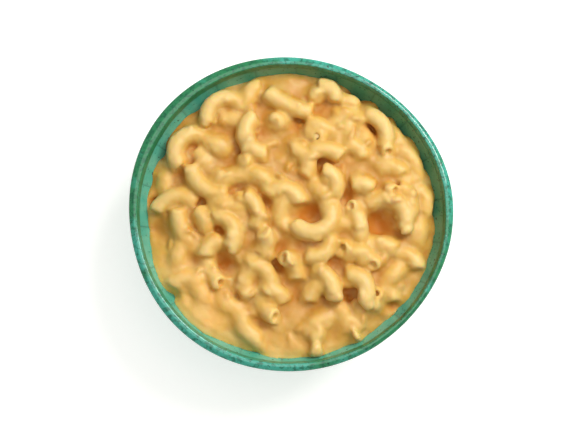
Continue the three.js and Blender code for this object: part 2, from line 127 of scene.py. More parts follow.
# A way that macaroni lies: lean and tilt in degrees, lift in millimetres, size, and how many ends are open.
# A piece is x, y of the middle of its bend, the way that its outside faces, its sweep in degrees, and the
# radius of its bend where that isn't the usual one. A sweep below zero puts its open or raised end on the
# other side.
HEAP = [
    {
        "pose": "lying on top of the others", "lean": 10, "tilt": 0, "lift": 3.0, "size": 1.04, "bores": 0,
        "pieces": [
            (-37.3, 58.1, 115, 180, 9.5), (-56, 37.7, 134, 180), (-22.8, 37.8, 195, -148, 10.4),
            (46.7, 44.5, 29, 112, 11.8), (53.2, 5.8, 55, 170, 10.8), (37, -35.8, 27, 150, 8.4),
            (14.9, -8.8, 296, 172, 10.2), (20.3, 63, 45, 110, 7),
        ],
    },
    {
        "pose": "lying proud of the sauce", "lean": 9, "tilt": 0, "lift": 1.7, "size": 1.0, "bores": 0,
        "pieces": [
            (-44.7, 13.3, 231, 106, 14), (-12.6, -29.3, 35, 142, 8.4), (-17, 2, 20, -95, 12),
            (-2.7, 12, 75, 130), (34.5, -6, 10, 90, 10), (-29.5, -6.4, 27, 155, 9),
            (-40.8, -16.3, 140, 62, 11), (19.4, -34, 32, 85, 14), (-2, 55, 245, 36, 41),
            (8, 27.5, 25, 130, 8), (22, 16.5, 20, 120, 8), (17.8, 32.2, 82, 75, 13),
            (16.5, -19.8, 310, 130, 8.5), (60, 6.5, 15, 90, 12),
        ],
    },
    {
        "pose": "lying half sunk", "lean": 8, "tilt": 0, "lift": 0.1, "size": 0.97, "bores": 0,
        "pieces": [
            (-21, 62, 150, 110, 6), (29.5, 57.5, 70, 80, 6.5), (28.5, 42, 182, 60, 10),
            (12, 40, 60, 80, 6), (63.5, 28.5, 35, 120, 11), (68.5, 10, 35, 140, 8.5),
            (-5.7, 0.5, 180, 130), (30, 49.8, 75, 55, 16), (-59.1, 8.8, 102, 112, 12.6),
            (-23, -34.5, 170, 100), (12.5, -37, 125, 130, 7), (60.5, -21.5, 60, 120, 7),
            (51.5, -41.5, 60, 110, 6.5), (-53.7, -33, 95, 110, 8), (17.2, 8, 27, 62, 20),
            (-24, 19.8, 95, 60, 22), (33, 33.5, 60, 110, 6.5), (44.5, -15.3, 85, 60, 16),
            (-55, -8.5, 205, 58, 22), (51, 24, 75, 100, 8), (-22.8, -57.8, 215, 80, 13),
        ],
    },
    {
        "pose": "arched over the sauce", "lean": 48, "tilt": 0, "lift": 1.2, "size": 0.96, "bores": 0,
        "pieces": [
            (36, 14.5, 75, 80, 7), (-14.5, 18, 50, 150), (33.3, -19.5, 88, 120, 6),
            (-8.8, -39, 75, 140, 5.5), (14.5, 44.5, 70, 75), (-43.8, -3, 20, -70, 10),
            (-33.7, 5, 85, 92),
        ],
    },
    {
        "pose": "arched and mostly sunk", "lean": 56, "tilt": 0, "lift": -0.6, "size": 0.94, "bores": 0,
        "pieces": [
            (-56.5, -21, 180, 85), (-31.5, -45.5, 235, 80, 8), (23.8, -5.8, 110, 112),
            (13.3, -54.5, 120, 92), (26.3, -50, 30, 92), (64.5, -9, 350, 130), (-38, 35, 70, 80),
            (57, 17.5, 80, 60, 8), (51.5, -30.5, 320, 112), (-46, -38.5, 33, 60, 10),
            (-29.5, 48, 80, 100, 7), (31.5, -56.5, 60, 60), (-26.2, 3.5, 185, 60, 13),
            (54, 40, 30, 60, 13), (22.5, 41, 180, 60, 12), (-65, 17, 170, 120, 8.5),
            (30, -34, 120, 70, 5), (34, -47.5, 15, 60, 8), (38, 38, 25, 80), (-44, 27, 20, 80),
        ],
    },
    {
        "pose": "one end raised and open", "lean": -28, "tilt": 30, "lift": 1.0, "size": 0.92, "bores": 1,
        "pieces": [
            (-40.1, -29.6, 215, 50, 18), (-12.2, -15, 10, -85), (-12.2, -48.6, 225, 62, 12),
            (1.3, -26, 50, 95),
        ],
    },
    {
        "pose": "standing on one end", "lean": 0, "tilt": 68, "lift": -0.8, "size": 1.0, "bores": 0,
        "pieces": [
            (-5.5, 46.8, 60, 80), (13.8, 64.2, 135, 80), (-22.3, 25.2, 20, 70), (44.5, -48.6, 20, 80),
            (15.2, -68.5, 10, 70), (-36.7, 17.2, 20, 60),
        ],
    },
    {
        "pose": "standing low with an open end",
        "lean": 0, "tilt": 68, "lift": -1.2, "size": 0.82, "bores": 1,
        "pieces": [
            (49, 34.3, 150, 80), (49.5, 14, 170, 90), (42.4, -24.2, 90, 80), (32.7, 2.1, 40, 75),
            (28.9, -17, 60, 70), (44.5, -41.8, 0, 65), (15.5, 38.5, 60, 60),
        ],
    },
    {
        "pose": "a short end lying at the bowl's edge",
        "lean": 5, "tilt": 0, "lift": 3.2, "size": 0.95, "bores": 0,
        "pieces": [(12.9, -69, 270, 30), (33.4, -62.5, 300, 16)],
    },
]

# ---- how the sauce lies over the heap ----

GRID_LOW_MM = (-77.5, -77.0, 44.0)
GRID_HIGH_MM = (77.5, 77.0, 68.0)
FAR_MM = 50.0
SAUCE_SLOPE = 1.1  # height over the sauce for each millimetre of distance from it
SAUCE_UNEVENNESS_MM = 0.08
COAT_UNEVENNESS_MM = 0.16
POOL_CALM = 0.8  # how much of the sauce's lumps a pool takes away
FULL_POOL_MM = 3.0  # the height from which a pool counts in full
BROAD_POOL_MM = 12.0
BLEND_MARGIN_MM = 3.5
COATED_END_EDGE_MM = 2.6
OPEN_END_EDGE_MM = 1.2
BORE_RADIUS_MM = 1.9
BORE_DEPTH_MM = 1.3
BORE_EDGE_MM = 0.7
SINKS_INTO_WALL_MM = 0.6
FLOOR_GAP_MM = 0.4
# Waves of the coat's and the sauce's skin, and of the sauce's level: height, length, how many, and seed.
SKIN_RIPPLES = [(1.0, 9.0, 10, 5), (0.8, 4.0, 14, 11)]
LEVEL_RIPPLES = [(0.9, 11.0, 12, 9), (0.25, 5.5, 12, 4)]
SMOOTHING_ROUNDS = 5
CURDS = 110
CURD_SEED = 23
CURD_REACH = 0.84  # the share of the cavity's area that has curds
CURD_SIZES_MM = (1.1, 2.6)
CURD_STRETCHES = (0.7, 1.5)
CURD_SINK = 0.35  # in sizes of the curd
CURD_FILLET_MM = 1.6
CURD_FREE_POOL_MM = 1.2  # the height of pool from which it has no curds
PASTA_SHOWS_MM = 1.2
HOLLOW_REACH_MM = 5.0
DEEP_HOLLOW_MM = 4.0

# ---- the studio ----

AIM = (-0.0001, -0.001, BOWL_HEIGHT_MM * MM)
KEY_PLACE = (0.48, 0.45, 0.82)
KEY_WIDTH = 0.55
KEY_COLOUR = (1.0, 0.97, 0.93)
OVERHEAD_PLACE = (0.05, 0.05, 1.1)
OVERHEAD_WIDTH = 1.1
OVERHEAD_COLOUR = (1.0, 0.99, 0.97)
FILL_COLOUR = (1.0, 0.93, 0.84)
FLOOR_HALF_WIDTH = 3.0
SENSOR_WIDTH = 36.0  # in millimetres, as the lens


def smoothstep(value, low, high):
    t = np.clip((value - low) / (high - low), 0.0, 1.0)
    return t * t * (3 - 2 * t)


def waves(terms, angle):
    return sum(size * np.cos(count * angle - math.radians(phase)) for count, size, phase in terms)


def wall_radius(share, rim_radius):
    """Radius of a wall on the way up from its bottom, share 0, to the rim, share 1."""
    s = np.clip(share, 0.0, 1.0)
    round_share = (1 - (1 - s) ** WALL_ROUNDNESS) ** (1 / WALL_ROUNDNESS)
    return rim_radius * round_share * (1 - WALL_FLARE * (1 - s))


def cavity_radius(angle, z):
    """Radius of the bowl's inside, in millimetres from the axis that it was thrown on."""
    def turned_radius(height):
        return wall_radius((height - FLOOR_Z_MM) / (LIP_Z_MM - FLOOR_Z_MM), INNER_RIM_MM)

    lift = smoothstep(z, 0, LIP_Z_MM) * waves(RIM_LEVEL_WAVES, angle) * turned_radius(z) / RIM_RADIUS_MM
    unlifted = z - lift
    return turned_radius(unlifted) * (1 + smoothstep(unlifted, 0, LIP_Z_MM) * waves(CAVITY_WAVES, angle))


def bumps(x, y, places):
    """Rises and dips added up, each a bell curve with a middle x and y, a height and a radius."""
    return sum(height * np.exp(-((x - cx) ** 2 + (y - cy) ** 2) / (2 * (radius / BELL_REACH) ** 2))
               for cx, cy, height, radius in places)


def sauce_level(x, y):
    """Height of the bare sauce, in millimetres: a low dome that rounds down at the bowl's wall."""
    reach = np.hypot(x - AXIS_X_MM, y - AXIS_Y_MM)
    share = reach / INNER_RIM_MM
    wall = cavity_radius(np.arctan2(y - AXIS_Y_MM, x - AXIS_X_MM), EDGE_LEVEL_MM)
    shoulder = np.clip((reach - wall) / SHOULDER_WIDTH_MM + 1, 0.0, 1.0) ** 2
    turn = 2 * math.pi / RIPPLE_LENGTH_MM
    ripple = np.sin(turn * x + 1) * np.cos(turn * y)
    return (EDGE_LEVEL_MM + DOME_RISE_MM * (1 - share ** 2) + RIPPLE_HEIGHT_MM * ripple
            + bumps(x, y, HOLLOWS + POOLS) - SHOULDER_DROP_MM * shoulder)


def random_stream(seed):
    """The construction model's stream of numbers from 0 to 1, the same each time."""
    state = seed
    while True:
        state = state * STREAM_FACTOR % STREAM_SIZE
        yield state / STREAM_SIZE


class Place:
    """Where a piece of macaroni lies, in millimetres: the frame of its bend, from the bend's centre."""

    def __init__(self, piece, pose, draws):
        x, y, facing, sweep, bend = (*piece, BEND_RADIUS_MM)[:5]
        self.size = pose["size"] + (next(draws) - 0.5) * SIZE_SPREAD
        lean = math.radians(pose["lean"] + (next(draws) - 0.5) * LEAN_SPREAD)
        tilt = math.radians(pose["tilt"] + (next(draws) - 0.5) * TILT_SPREAD)
        heading = math.radians(facing)
        level = np.array([math.cos(heading), math.sin(heading), 0.0])
        self.out = np.array([*(level[:2] * math.cos(lean)), math.sin(lean)])
        side = np.array([-level[1], level[0], 0.0]) * math.copysign(1, sweep)
        self.along = side * math.cos(tilt) + np.cross(self.out, side) * math.sin(tilt)
        self.across = np.cross(self.out, self.along)
        self.half = math.radians(abs(sweep)) / 2
        self.bend = bend
        self.tube = TUBE_RADIUS_MM * self.size
        self.middle = np.array([x, y, sauce_level(x, y) + pose["lift"]])
        self.open_ends = pose["bores"]
        self.keep_clear_of_wall()

    @property
    def centre(self):
        return self.middle - self.out * self.bend

    def points(self, count=7):
        angle = np.linspace(-self.half, self.half, count)[:, None]
        return self.middle + self.bend * (self.out * (np.cos(angle) - 1) + self.along * np.sin(angle))

    def keep_clear_of_wall(self):
        """Moves the piece towards the bowl's middle until all of it is clear of the wall."""
        axis = np.array([AXIS_X_MM, AXIS_Y_MM])
        for _ in range(4):
            p = self.points()
            flat = p[:, :2] - axis
            angle = np.arctan2(flat[:, 1], flat[:, 0])
            room = cavity_radius(angle, p[:, 2] - TUBE_RADIUS_MM / 2) - WALL_GAP_MM
            worst = max(0.0, float((np.hypot(*flat.T) + self.tube - room).max()))
            inward = axis - self.middle[:2]
            self.middle[:2] += inward / np.linalg.norm(inward) * worst


def heap_places():
    draws = random_stream(HEAP_SEED)
    return [Place(piece, pose, draws) for pose in HEAP for piece in pose["pieces"]]


# ---- node trees ----

class Field:
    """What a node puts out. Its arithmetic and methods add the nodes that work something out from it."""

    def __init__(self, socket):
        self.socket = socket

    def through(self, kind, inputs, output=0, **settings):
        return field(self.socket.id_data, kind, inputs, output, **settings)

    def maths(self, operation, *others):
        return self.through("ShaderNodeMath", dict(enumerate((self, *others))), operation=operation)

    def __add__(self, other):
        return self.maths("ADD", other)

    def __sub__(self, other):
        return self.maths("SUBTRACT", other)

    def __rsub__(self, other):
        return self.through("ShaderNodeMath", {0: other, 1: self}, operation="SUBTRACT")

    def __mul__(self, other):
        return self.maths("MULTIPLY", other)

    def __truediv__(self, other):
        return self.maths("DIVIDE", other)

    def ramp(self, low, high):
        """A smooth step from 0 at low to 1 at high."""
        inputs = {"Value": self, "From Min": low, "From Max": high}
        return self.through("ShaderNodeMapRange", inputs, interpolation_type="SMOOTHSTEP")

    def vector(self, operation, *others):
        return self.through("ShaderNodeVectorMath", dict(enumerate((self, *others))), operation=operation)

    def scaled(self, factor):
        return self.through("ShaderNodeVectorMath", {"Vector": self, "Scale": factor}, operation="SCALE")

    def parts(self):
        """The x, y and z of a vector."""
        separate = add_node(self.socket.id_data, "ShaderNodeSeparateXYZ", {0: self})
        return [Field(output) for output in separate.outputs]

    def noise(self, scale, detail=3.0, rough=0.5):
        """Noise at this place."""
        inputs = {"Vector": self, "Scale": scale, "Detail": detail, "Roughness": rough}
        return self.through("ShaderNodeTexNoise", inputs)

    def noise_from_seed(self, scale, detail, output):
        """Noise at each point of a mesh, with this as its seed."""
        inputs = {"W": self, "Scale": scale, "Detail": detail}
        return self.through("ShaderNodeTexNoise", inputs, output, noise_dimensions="4D")

    def mix(self, one, two):
        """The colour one where this is 0, and the colour two where it is 1."""
        inputs = {0: self}
        for key, colour in ((6, one), (7, two)):
            inputs[key] = colour if isinstance(colour, Field) else (*colour, 1.0)
        return self.through("ShaderNodeMix", inputs, 2, data_type="RGBA")

    def bump(self, strength, distance, under=None):
        inputs = {"Height": self, "Strength": strength, "Distance": distance}
        return self.through("ShaderNodeBump", inputs if under is None else {**inputs, "Normal": under})

    def moved(self, how, value):
        """This geometry with its points' Position set, or shifted by an Offset."""
        return self.through("GeometryNodeSetPosition", {"Geometry": self, how: value})

    def merged(self, distance):
        return self.through("GeometryNodeMergeByDistance", {"Geometry": self, "Distance": distance})

    def sampled(self, vector, index):
        inputs = {"Geometry": self, "Value": vector, "Index": index}
        return self.through("GeometryNodeSampleIndex", inputs, data_type="FLOAT_VECTOR")

    def with_attribute(self, name, value, kind="FLOAT"):
        inputs = {"Geometry": self, "Name": name, "Value": value}
        return self.through("GeometryNodeStoreNamedAttribute", inputs, data_type=kind)


def give(node, inputs):
    """Gives a node's inputs values or links."""
    for key, value in inputs.items():
        if isinstance(value, Field):
            node.id_data.links.new(value.socket, node.inputs[key])
        else:
            node.inputs[key].default_value = value


def add_node(tree, kind, inputs=None, **settings):
    node = tree.nodes.new(kind)
    for name, value in settings.items():
        setattr(node, name, value)
    give(node, inputs or {})
    return node


def field(tree, kind, inputs=None, output=0, **settings):
    """Adds a node and returns one of its outputs."""
    return Field(add_node(tree, kind, inputs, **settings).outputs[output])


def combined(x, y, z):
    return x.through("ShaderNodeCombineXYZ", {0: x, 1: y, 2: z})


def named(tree, name, kind="FLOAT"):
    return field(tree, "GeometryNodeInputNamedAttribute", {"Name": name}, data_type=kind)


def numbered_grid(tree, rows, columns):
    """A flat grid to be shaped, with each point's row and its place in that row."""
    grid = field(tree, "GeometryNodeMeshGrid", {"Vertices X": rows, "Vertices Y": columns})
    index = field(tree, "GeometryNodeInputIndex")
    row = ((index + 0.5) / columns).maths("FLOOR")
    return grid, row, index - row * columns


def geometry_tree(name, defaults):
    """A new modifier tree that takes a geometry, a material and these numbers, and puts out a geometry."""
    tree = bpy.data.node_groups.new(name, "GeometryNodeTree")
    tree.is_modifier = True
    tree.interface.new_socket("Geometry", in_out="OUTPUT", socket_type="NodeSocketGeometry")
    for label, kind in (("Geometry", "NodeSocketGeometry"), ("Material", "NodeSocketMaterial")):
        tree.interface.new_socket(label, in_out="INPUT", socket_type=kind)
    for label, default in defaults.items():
        kind = "NodeSocketInt" if isinstance(default, int) else "NodeSocketFloat"
        tree.interface.new_socket(label, in_out="INPUT", socket_type=kind).default_value = default
    return tree, {output.name: Field(output) for output in add_node(tree, "NodeGroupInput").outputs}


def finish_tree(geometry, material):
    """Ends a tree: instances realized, smooth faces, and the material set."""
    real = geometry.through("GeometryNodeRealizeInstances", {0: geometry})
    smooth = real.through("GeometryNodeSetShadeSmooth", {0: real})
    painted = smooth.through("GeometryNodeSetMaterial", {"Geometry": smooth, "Material": material})
    add_node(painted.socket.id_data, "NodeGroupOutput", {0: painted})


def grown(name, seed_mesh, tree, values):
    """Runs a tree on a mesh and returns the result as a plain mesh object at the origin."""
    source = linked(name + "_seed", seed_mesh)
    modifier = source.modifiers.new("grow", "NODES")
    modifier.node_group = tree
    for item in tree.interface.items_tree:
        if item.item_type == "SOCKET" and item.in_out == "INPUT" and item.name in values:
            modifier[item.identifier] = values[item.name]
    depsgraph = bpy.context.evaluated_depsgraph_get()
    mesh = bpy.data.meshes.new_from_object(source.evaluated_get(depsgraph))
    if not mesh.polygons:
        raise RuntimeError(name + ": its tree made no faces")
    source.modifiers.remove(modifier)
    bpy.data.objects.remove(source)
    mesh.name = name
    return linked(name, mesh)


def linked(name, data):
    item = bpy.data.objects.new(name, data)
    bpy.context.scene.collection.objects.link(item)
    return item


def store(mesh, name, values):
    """Keeps one number or one vector for each point of a mesh."""
    values = np.array(values, np.float32)
    kind, key = ("FLOAT", "value") if values.ndim == 1 else ("FLOAT_VECTOR", "vector")
    mesh.attributes.new(name, kind, "POINT").data.foreach_set(key, values.ravel())


# ---- the bowl ----

def rounded(corners, steps=5):
    """Points along an outline whose corners (r, z, radius) are rounded by arcs."""
    points = []
    for i, (r, z, radius) in enumerate(corners):
        here = Vector((r, z))
        if radius == 0 or i in (0, len(corners) - 1):
            points.append(here)
            continue
        before = (Vector(corners[i - 1][:2]) - here).normalized()
        after = (Vector(corners[i + 1][:2]) - here).normalized()
        reach = radius / math.tan(before.angle(after) / 2)
        for k in range(steps + 1):
            t = k / steps
            points.append(here + before * (reach * (1 - t) ** 2) + after * (reach * t ** 2))
    return [tuple(p) for p in points]


def outer_point(share):
    """(r, z) on the bowl's outside, from its bottom, share 0, to the lip, share 1."""
    return wall_radius(share, RIM_RADIUS_MM), OUTER_BOTTOM_Z_MM + share * (LIP_Z_MM - OUTER_BOTTOM_Z_MM)


def inner_point(share):
    """(r, z) on the bowl's inside, from its floor, share 0, to the lip, share 1."""
    return wall_radius(share, INNER_RIM_MM), FLOOR_Z_MM + share * (LIP_Z_MM - FLOOR_Z_MM)


def bowl_profile():
    """(r, z) points in millimetres, from under the foot up outside, over the lip and down inside, with zones.

    A zone is how far over the lip a point is, from 0 to 1, whether it is inside, and whether on the foot.
    """
    foot = rounded([
        (0, FOOT_RECESS_MM, 0),
        (FOOT_INNER_MM, FOOT_RECESS_MM, 0.8),
        (FOOT_INNER_MM + 0.8, 0, 0.3),
        (FOOT_OUTER_MM - 0.3, 0, 0.9),
        (FOOT_OUTER_MM, FOOT_HEIGHT_MM, 2.0),
        (*outer_point(FOOT_JOINS_AT), 0),
    ])
    outside = [outer_point(share) for share in np.linspace(0.2, 0.99, 30)]
    lip = rounded([
        (*outside[-1], 0),
        (RIM_RADIUS_MM, LIP_Z_MM + 0.9, 1.4),
        (RIM_RADIUS_MM - 2.0, BOWL_HEIGHT_MM - 0.1, 1.6),
        (INNER_RIM_MM + 0.15, BOWL_HEIGHT_MM - 0.2, 0.8),
        (INNER_RIM_MM + 0.1, LIP_Z_MM + 0.8, 0.3),
        (INNER_RIM_MM + 0.3, LIP_Z_MM + 0.3, 0.3),
        (*inner_point(0.97), 0),
    ])[1:]
    shares = [*np.linspace(0.95, 0.7, 22), *(np.linspace(0.66, 0, 14) ** 1.3)]
    inside = [inner_point(share) for share in shares]
    zones = [(0, 0, 1)] * (len(foot) - 1) + [(0, 0, 0)] * (len(outside) + 1)
    zones += [(min(1, (RIM_RADIUS_MM - r) / RIM_THICKNESS_MM), 0, 0) for r, _ in lip]
    zones += [(1, 1, 0)] * len(inside)
    return foot + outside + lip + inside, zones


def bowl_seed():
    points, zones = bowl_profile()
    mesh = bpy.data.meshes.new("bowl_profile")
    edges = [(i, i + 1) for i in range(len(points) - 1)]
    mesh.from_pydata([(r * MM, 0, z * MM) for r, z in points], edges, [])
    store(mesh, "zones", zones)
    return mesh


def bowl_tree():
    """Spins the profile and gives it its uneven outline, its panels and grooves, and a hand's wobble."""
    tree, given = geometry_tree("hand_made_bowl", {
        "Sectors": 288,
        "Height": LIP_Z_MM * MM,
        "Rim Radius": RIM_RADIUS_MM * MM,
        "Unevenness": 1.0,
        "Panel Relief": 0.0004,
        "Groove Depth": 0.0004,
        "Groove Sharpness": 24.0,
        "Groove Packing": 0.12,
        "Wobble": 0.0003,
        "Lip Wobble": 0.0012,
        "Seed": 3.0,
    })
    profile, seed = given["Geometry"], given["Seed"]
    rows = field(tree, "GeometryNodeAttributeDomainSize", {0: profile}, "Point Count", component="MESH")
    mesh, row, sector = numbered_grid(tree, rows, given["Sectors"] + 1)

    # The sectors lie closer together at the grooves.
    turn = sector * PANELS / given["Sectors"]
    packed = turn - (turn * (2 * math.pi)).maths("SINE") * given["Groove Packing"]
    angle = packed * (2 * math.pi / PANELS) + math.radians(PANEL_PHASE)
    cosine, sine = angle.maths("COSINE"), angle.maths("SINE")

    position = field(tree, "GeometryNodeInputPosition")
    r, _, z = profile.sampled(position, row).parts()
    zones = profile.sampled(named(tree, "zones", "FLOAT_VECTOR"), row)
    cavity, inside, _ = zones.parts()
    rise = z.ramp(0.0, given["Height"])

    def wave_sum(terms):
        total = 0.0
        for count, size, phase in terms:
            total = (angle * float(count) - math.radians(phase)).maths("COSINE") * size + total
        return total * rise * given["Unevenness"]

    outlines = {2: wave_sum(OUTLINE_WAVES), 3: wave_sum(CAVITY_WAVES)}
    outline = cavity.through("ShaderNodeMix", {0: cavity, **outlines})
    level = wave_sum(RIM_LEVEL_WAVES) * MM * (r / given["Rim Radius"])

    # The panels bulge a little between grooves, which fade out down the wall.
    across = ((angle - math.radians(PANEL_PHASE)) * (PANELS / 2)).maths("SINE").maths("ABSOLUTE")
    near_groove = 1.0 - across
    groove = near_groove.maths("POWER", given["Groove Sharpness"])
    dent = (near_groove * given["Panel Relief"] + groove * given["Groove Depth"]) * inside * rise

    # The lip's thickness comes and goes round the rim, on its inner side.
    uneven = combined(cosine, sine, seed).noise(LIP_NOISE_SCALE, 2.0, 0.6)
    thicker = uneven * (cavity * (1.0 - inside)) * given["Lip Wobble"]
    radius = r * (outline + 1.0) + dent - thicker
    place = combined(radius * cosine + AXIS_X_MM * MM, radius * sine + AXIS_Y_MM * MM, z + level)
    laid = mesh.moved("Position", place).with_attribute("zones", zones, "FLOAT_VECTOR")
    laid = laid.with_attribute("groove", groove * inside)

    # A hand's wobble draws the wall in and down by a little, here and there.
    uneven = seed.noise_from_seed(WALL_NOISE_SCALE, 2.0, "Fac")
    out_x, out_y, _ = position.vector("NORMALIZE").parts()
    wobble = combined(out_x, out_y, 0.5).scaled(uneven * rise * given["Wobble"] * WALL_DRAW)
    finish_tree(laid.moved("Offset", wobble).merged(2e-6), given["Material"])
    return tree


# ---- the macaroni ----

def macaroni_seed(places):
    """One point for each piece of macaroni, with the frame of its bend."""
    mesh = bpy.data.meshes.new("macaroni_places")
    mesh.from_pydata([tuple(p.centre * MM) for p in places], [], [])
    store(mesh, "centre", [p.centre * MM for p in places])
    store(mesh, "out", [p.out for p in places])
    store(mesh, "along", [p.along for p in places])
    store(mesh, "bend", [p.bend * MM for p in places])
    store(mesh, "sweep", [2 * p.half - END_COVER_MM / p.bend for p in places])
    store(mesh, "size", [p.size for p in places])
    return mesh


def macaroni_tree():
    """Puts a hollow tube at each point, then bends it into that point's frame."""
    tree, given = geometry_tree("elbow_macaroni", {
        "Tube Radius": 0.00375,
        "Bore Radius": 0.0018,
        "Length": 0.02,
        "Edge Rounding": 0.0005,
        "Rows": 32,
        "Sides": 20,
        "Unevenness": 0.00025,
        "Seed": 7.0,
    })
    # The section of the tube's wall is a rounded oblong, which is spun round the tube's middle line.
    thickness = given["Tube Radius"] - given["Bore Radius"]
    middle = (given["Tube Radius"] + given["Bore Radius"]) * 0.5
    inputs = {"Width": thickness, "Height": given["Length"]}
    oblong = field(tree, "GeometryNodeCurvePrimitiveQuadrilateral", inputs)
    inputs = {"Curve": oblong, "Radius": given["Edge Rounding"], "Limit Radius": True, "Count": 3}
    section = field(tree, "GeometryNodeFilletCurve", inputs, mode="POLY")
    dense = field(tree, "GeometryNodeSubdivideCurve", {"Curve": section, "Cuts": 1})
    even = field(tree, "GeometryNodeResampleCurve", {"Curve": dense, "Count": given["Rows"]}, mode="COUNT")

    grid, row, sector = numbered_grid(tree, given["Rows"] + 1, given["Sides"] + 1)
    angle = sector / given["Sides"] * (2 * math.pi)
    position = field(tree, "GeometryNodeInputPosition")
    off_middle, height, _ = even.sampled(position, row.maths("MODULO", given["Rows"])).parts()
    radius = off_middle + middle
    ring = combined(radius * angle.maths("COSINE"), radius * angle.maths("SINE"), height)
    tube = grid.moved("Position", ring).merged(1e-6)

    spread = field(tree, "GeometryNodeInstanceOnPoints", {"Points": given["Geometry"], "Instance": tube})
    real = field(tree, "GeometryNodeRealizeInstances", {0: spread})
    centre, out, along = (named(tree, name, "FLOAT_VECTOR") for name in ("centre", "out", "along"))
    bend, sweep, size = (named(tree, name) for name in ("bend", "sweep", "size"))
    x, y, z = position.vector("SUBTRACT", centre).parts()
    turn = z / given["Length"] * sweep
    reach = x * size + bend
    bent = centre
    for way, distance in (
        (out, reach * turn.maths("COSINE")),
        (along, reach * turn.maths("SINE")),
        (out.vector("CROSS_PRODUCT", along), y * size),
    ):
        bent = bent.vector("ADD", way.scaled(distance))

    noise = given["Seed"].noise_from_seed(160.0, 1.0, "Color")
    shift = noise.vector("SUBTRACT", (0.5, 0.5, 0.5)).scaled(given["Unevenness"])
    finish_tree(real.moved("Position", bent).moved("Offset", shift), given["Material"])
    return tree


# ---- the sauce ----

def smooth_min(a, b, k):
    h = np.clip(0.5 + 0.5 * (b - a) / k, 0.0, 1.0)
    return b + (a - b) * h - k * h * (1 - h)


def smooth_max(a, b, k):
    return -smooth_min(-a, -b, k)


def ripples(x, y, z, length, count, seed):
    """An even mix of slanting waves about a length apart, from -1 to 1: a smooth unevenness."""
    rng = np.random.default_rng(seed)
    total = 0.0
    for _ in range(count):
        direction = rng.normal(size=3)
        direction *= 2 * math.pi / (length * rng.uniform(0.7, 1.5)) / np.linalg.norm(direction)
        total = total + np.sin(direction[0] * x + direction[1] * y + direction[2] * z + rng.uniform(0, 6.28))
    return total / math.sqrt(count / 2) / 2


class Grid:
    """A box of cells round the top of the heap, in millimetres, that holds distances to surfaces."""

    def __init__(self, step):
        self.step = step
        self.low = np.array(GRID_LOW_MM)
        self.count = np.ceil((np.array(GRID_HIGH_MM) - self.low) / step).astype(int)
        self.axes = [self.low[i] + step * np.arange(self.count[i]) for i in range(3)]

    def all(self):
        return np.meshgrid(*self.axes, indexing="ij", sparse=True)

    def near(self, low, high):
        """The slices of the cells within a box, and their x, y and z."""
        first = np.clip(np.floor((low - self.low) / self.step).astype(int), 0, self.count - 1)
        last = np.clip(np.ceil((high - self.low) / self.step).astype(int) + 1, 1, self.count)
        cells = tuple(slice(a, b) for a, b in zip(first, last))
        return cells, np.meshgrid(*(axis[c] for axis, c in zip(self.axes, cells)), indexing="ij")

    def top_of(self, solid):
        """Height of the highest solid cell above each spot of the grid's floor."""
        return self.low[2] + self.step * (self.count[2] - 1 - np.argmax(solid[:, :, ::-1], 2))


def bent_tube(place, x, y, z, radius, start, end, edge):
    """Distance to a bent tube between two angles of its bend, with flat ends whose edges are rounded."""
    off = (x - place.centre[0], y - place.centre[1], z - place.centre[2])
    u, v, w = (sum(d * a for d, a in zip(off, axis)) for axis in (place.out, place.along, place.across))
    rho = np.hypot(u, v)
    past = np.abs(np.arctan2(v, u) - (start + end) / 2)
    past = np.minimum(past, 2 * math.pi - past) - abs(end - start) / 2
    cap = np.where(past < math.pi / 2, rho * np.sin(np.minimum(past, math.pi / 2)), rho)
    return smooth_max(np.hypot(rho - place.bend, w) - radius, cap, edge)


def sauce_fields(grid, places, coat, fillet, seam):
    """Distances to the coated macaroni alone and to all of the sauce's surface, on the grid."""
    x, y, z = grid.all()
    unevenness = sum(height * ripples(x, y, z, *rest) for height, *rest in SKIN_RIPPLES)
    lumps = sum(height * ripples(x, y, 0 * x, *rest) for height, *rest in LEVEL_RIPPLES)
    calm = np.clip(bumps(x, y, POOLS) / FULL_POOL_MM, 0, 1)
    level = sauce_level(x, y) + lumps * (1 - POOL_CALM * calm) + bumps(x, y, GAPS)
    pool = (z - level) / SAUCE_SLOPE + SAUCE_UNEVENNESS_MM * unevenness
    coated = np.full(grid.count, FAR_MM)
    bored = np.full(grid.count, FAR_MM)
    for place in places:
        ends = place.points(9)
        margin = place.tube + BLEND_MARGIN_MM
        cells, (cx, cy, cz) = grid.near(ends.min(0) - margin, ends.max(0) + margin)
        edge = OPEN_END_EDGE_MM if place.open_ends else COATED_END_EDGE_MM
        tube = bent_tube(place, cx, cy, cz, place.tube, -place.half, place.half, edge)
        coated[cells] = smooth_min(coated[cells], tube, seam)
        if place.open_ends:
            depth, radius = BORE_DEPTH_MM / place.bend, BORE_RADIUS_MM * place.size
            start, end = place.half - depth, place.half + depth
            bore = bent_tube(place, cx, cy, cz, radius, start, end, BORE_EDGE_MM)
            bored[cells] = np.minimum(bored[cells], bore)
    coated += COAT_UNEVENNESS_MM * unevenness - coat
    surface = smooth_min(coated, pool, fillet)
    add_curds(grid, surface)
    surface = smooth_max(surface, -bored, BORE_EDGE_MM)
    angle = np.arctan2(y - AXIS_Y_MM, x - AXIS_X_MM)
    past_wall = np.hypot(x - AXIS_X_MM, y - AXIS_Y_MM) - cavity_radius(angle, z) - SINKS_INTO_WALL_MM
    return coated, np.maximum(surface, past_wall)


